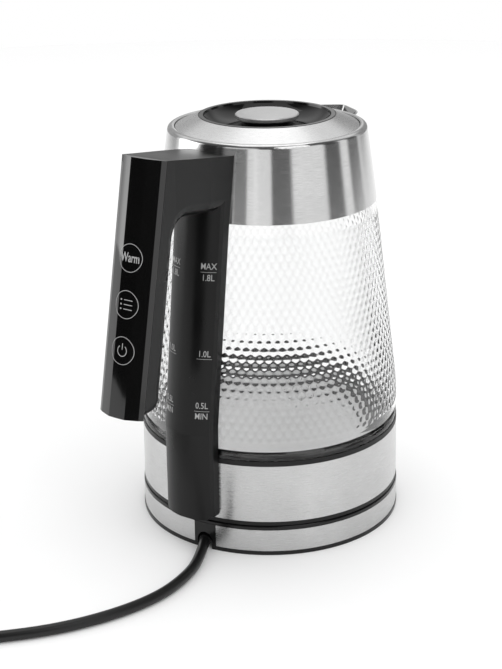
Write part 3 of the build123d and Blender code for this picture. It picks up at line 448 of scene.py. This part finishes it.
def circle(cx, cy, r, start=0.0, end=360.0, steps=48):
    full = end - start >= 360
    turns = [math.radians(start + (end - start) * i / steps) for i in range(steps if full else steps + 1)]
    return [(cx + r * math.cos(a), cy + r * math.sin(a)) for a in turns], full


def line(x0, y0, x1, y1, steps=6):
    return [(x0 + (x1 - x0) * i / steps, y0 + (y1 - y0) * i / steps) for i in range(steps + 1)], False


def lettering(name, text, size, place, squeeze=1.0, bold=0.0, look=None, body="jug"):
    """Generic words and scale marks as thin flat letters laid on a surface, centred on its origin."""
    data = bpy.data.curves.new(name, "FONT")
    data.body = text
    data.size = size
    data.align_x = "CENTER"
    data.align_y = "CENTER"
    data.offset = bold
    data.resolution_u = 3
    source = bpy.data.objects.new(name + "_source", data)
    bpy.context.scene.collection.objects.link(source)
    bpy.context.view_layer.update()
    mesh = bpy.data.meshes.new_from_object(source.evaluated_get(bpy.context.evaluated_depsgraph_get()))
    bpy.data.objects.remove(source)
    verts = [tuple(place(v.co.x * squeeze, v.co.y)) for v in mesh.vertices]
    faces = [tuple(p.vertices) for p in mesh.polygons]
    return piece(name, verts, faces, look or print_mat, body, smooth=False)


KEY_AT = (0.0895, 0.0635, 0.0375)
KEY_R = 0.0078
paths = [circle(0, at, KEY_R) for at in KEY_AT]
ribbon("key_rings", paths, 0.00032, on_panel)
lettering("key_warm", "Warm", 0.0074, lambda x, y: on_panel(x, y + KEY_AT[0]), 0.66, 0.00010)
menu = []
for i in (-1, 0, 1):
    y = KEY_AT[1] + i * 0.0026
    menu.append(line(-0.0016, y, 0.0042, y))
    menu.append(circle(-0.0036, y, 0.00032, steps=12))
ribbon("key_menu", menu, 0.00042, on_panel)
power = [circle(0, KEY_AT[2], 0.0031, 125, 415, 32), line(0, KEY_AT[2] + 0.0006, 0, KEY_AT[2] + 0.0042)]
ribbon("key_power", power, 0.00045, on_panel)

# ---------------------------------------------------------------- level marks on the spine
SPINE_LOW_Z, SPINE_HIGH_Z = 0.079, 0.226
CROWN_LOW = 0.0934
CROWN_HIGH = 0.0669 + (0.0814 - 0.0669) * (0.2042 - 0.226) / (0.2042 - 0.083) + 0.0114


def spine_crown(z):
    if z <= SPINE_LOW_Z:
        return CROWN_LOW
    return CROWN_LOW + (CROWN_HIGH - CROWN_LOW) * (z - SPINE_LOW_Z) / (SPINE_HIGH_Z - SPINE_LOW_Z)


def spine_depth(t_):
    """How far the spine's face lies behind its ridge, at t_ metres off the middle."""
    half = 0.0170
    t_ = abs(t_)
    ax, ay = 0.0, 0.0
    bx, by = half / 2, 0.0012
    cx, cy = half - 0.0007, 0.0052
    d = 2 * (ax * (by - cy) + bx * (cy - ay) + cx * (ay - by))
    aa, bb, cc = ax * ax + ay * ay, bx * bx + by * by, cx * cx + cy * cy
    ux = (aa * (by - cy) + bb * (cy - ay) + cc * (ay - by)) / d
    uy = (aa * (cx - bx) + bb * (ax - cx) + cc * (bx - ax)) / d
    r = math.hypot(ux, uy)
    return uy - math.sqrt(max(0.0, r ** 2 - (t_ - ux) ** 2))


def on_spine(x, y):
    """A point on the spine's face: x to the right as seen from the handle's side, y the height."""
    return Vector((-spine_crown(y) + spine_depth(x) - 0.00008, -x, y))


LEVELS = (
    ("max", 0.1812, "MAX"), ("full", 0.1745, "1.8L"), ("litre", 0.1292, "1.0L"),
    ("half", 0.0977, "0.5L"), ("min", 0.0912, "MIN"),
)
for tag, mid in (("near", 0.0117), ("far", -0.0117)):
    marks = []
    for label, z, text in LEVELS:
        lettering(
            f"mark_{label}_{tag}", text, 0.0053, lambda x, y, z=z: on_spine(mid + x, z + y), 0.76, 0.00002)
    for z in (0.1779, 0.1262, 0.0944):
        marks.append(line(mid - 0.0042, z, mid + 0.0042, z))
    ribbon(f"mark_lines_{tag}", marks, 0.00022, on_spine)

# ---------------------------------------------------------------- studio
floor_mesh = bpy.data.meshes.new("floor")
bm = bmesh.new()
bmesh.ops.create_circle(bm, cap_ends=True, segments=96, radius=1.9)
bm.to_mesh(floor_mesh)
bm.free()
floor = bpy.data.objects.new("floor", floor_mesh)
floor.location = (0, 0, -0.00005)
bpy.context.scene.collection.objects.link(floor)
floor_mat, t, shader, coords = material("floor_pale", rgb(0.93), 0.9)
shader.inputs["Specular IOR Level"].default_value = 0.0
floor_mesh.materials.append(floor_mat)

world = bpy.data.worlds.new("studio")
bpy.context.scene.world = world
world.use_nodes = True
t = Tree(world.node_tree)
background = world.node_tree.nodes["Background"]
direction = t.node("ShaderNodeTexCoord").outputs["Generated"]
dx, dy, dz = t.xyz(direction)
azimuth = t.math("ARCTAN2", dy, dx)
CAM_AZ = math.atan2(CAM_AT.y, CAM_AT.x)
turned = t.math("MULTIPLY", t.math("SUBTRACT", azimuth, CAM_AZ), 180 / math.pi)
relative = t.math("WRAP", turned, 180.0, -180.0)


def window(value, low, high, soft):
    """1 between low and high, falling to 0 outside."""
    rise = t.span(value, low - soft, low + soft, 0.0, 1.0, True)
    fall = t.span(value, high - soft, high + soft, 1.0, 0.0, True)
    return t.math("MULTIPLY", rise, fall)


def shade_in(room, where, level):
    """Sets the room's brightness to level where the mask is 1."""
    kept = t.math("MULTIPLY", room, t.math("SUBTRACT", 1.0, where))
    return t.math("ADD", kept, t.math("MULTIPLY", where, level))


height = t.math("MULTIPLY", t.math("ARCSINE", dz), 180 / math.pi)
room = 1.0
for low, high, level, soft in (
    (-180, -122, 0.45, 5), (-116, -84, 3.0, 3), (-80, -50, 0.03, 3), (-11, 26, 0.11, 3),
    (66, 88, 0.08, 3), (101, 122, 0.12, 3), (126, 176, 0.35, 8),
):
    room = shade_in(room, window(relative, low, high, soft), level)
room = shade_in(room, t.math("MULTIPLY", window(relative, -36, -22, 1.5), window(height, -4, 9, 1.0)), 0.05)
room = shade_in(room, t.math("MULTIPLY", window(relative, -52, -36, 1.5), window(height, 2.3, 9, 0.7)), 0.05)
room = shade_in(room, t.math("MULTIPLY", window(relative, -15, 4, 1.5), window(height, -4, 9, 1.0)), 1.2)
room = shade_in(room, window(relative, -58.0, -57.2, 0.4), 0.5)
above = t.span(height, 20, 34, 0.0, 1.0, True)
facing = t.span(t.math("ABSOLUTE", relative), 95, 140, 0.10, 0.95, True)
room = shade_in(room, above, facing)
path = t.node("ShaderNodeLightPath").outputs
mirrored = t.math("MULTIPLY", path["Is Glossy Ray"], t.math("SUBTRACT", 1.0, path["Is Transmission Ray"]))
dimmed = t.math("MULTIPLY", t.span(height, 10, 60, 0.0, 0.16), path["Is Transmission Ray"])
through = t.span(dimmed, 0.0, 1.0, 1.0, 0.0)
seen = shade_in(through, mirrored, room)
t.tree.links.new(seen, background.inputs["Strength"])
background.inputs["Color"].default_value = (1, 1, 1, 1)


def soft_light(name, at, aim, size, power):
    data = bpy.data.lights.new(name, "AREA")
    data.shape = "RECTANGLE"
    data.size, data.size_y = size
    data.energy = power
    obj = bpy.data.objects.new(name, data)
    obj.location = at
    obj.rotation_euler = (Vector(aim) - Vector(at)).to_track_quat("-Z", "Y").to_euler()
    bpy.context.scene.collection.objects.link(obj)
    return obj


soft_light("key", (-0.5, -1.3, 1.5), (0, 0, 0.1), (1.0, 1.0), 5)
soft_light("top", (0.1, 0.1, 1.8), (0, 0, 0), (1.4, 1.4), 6)
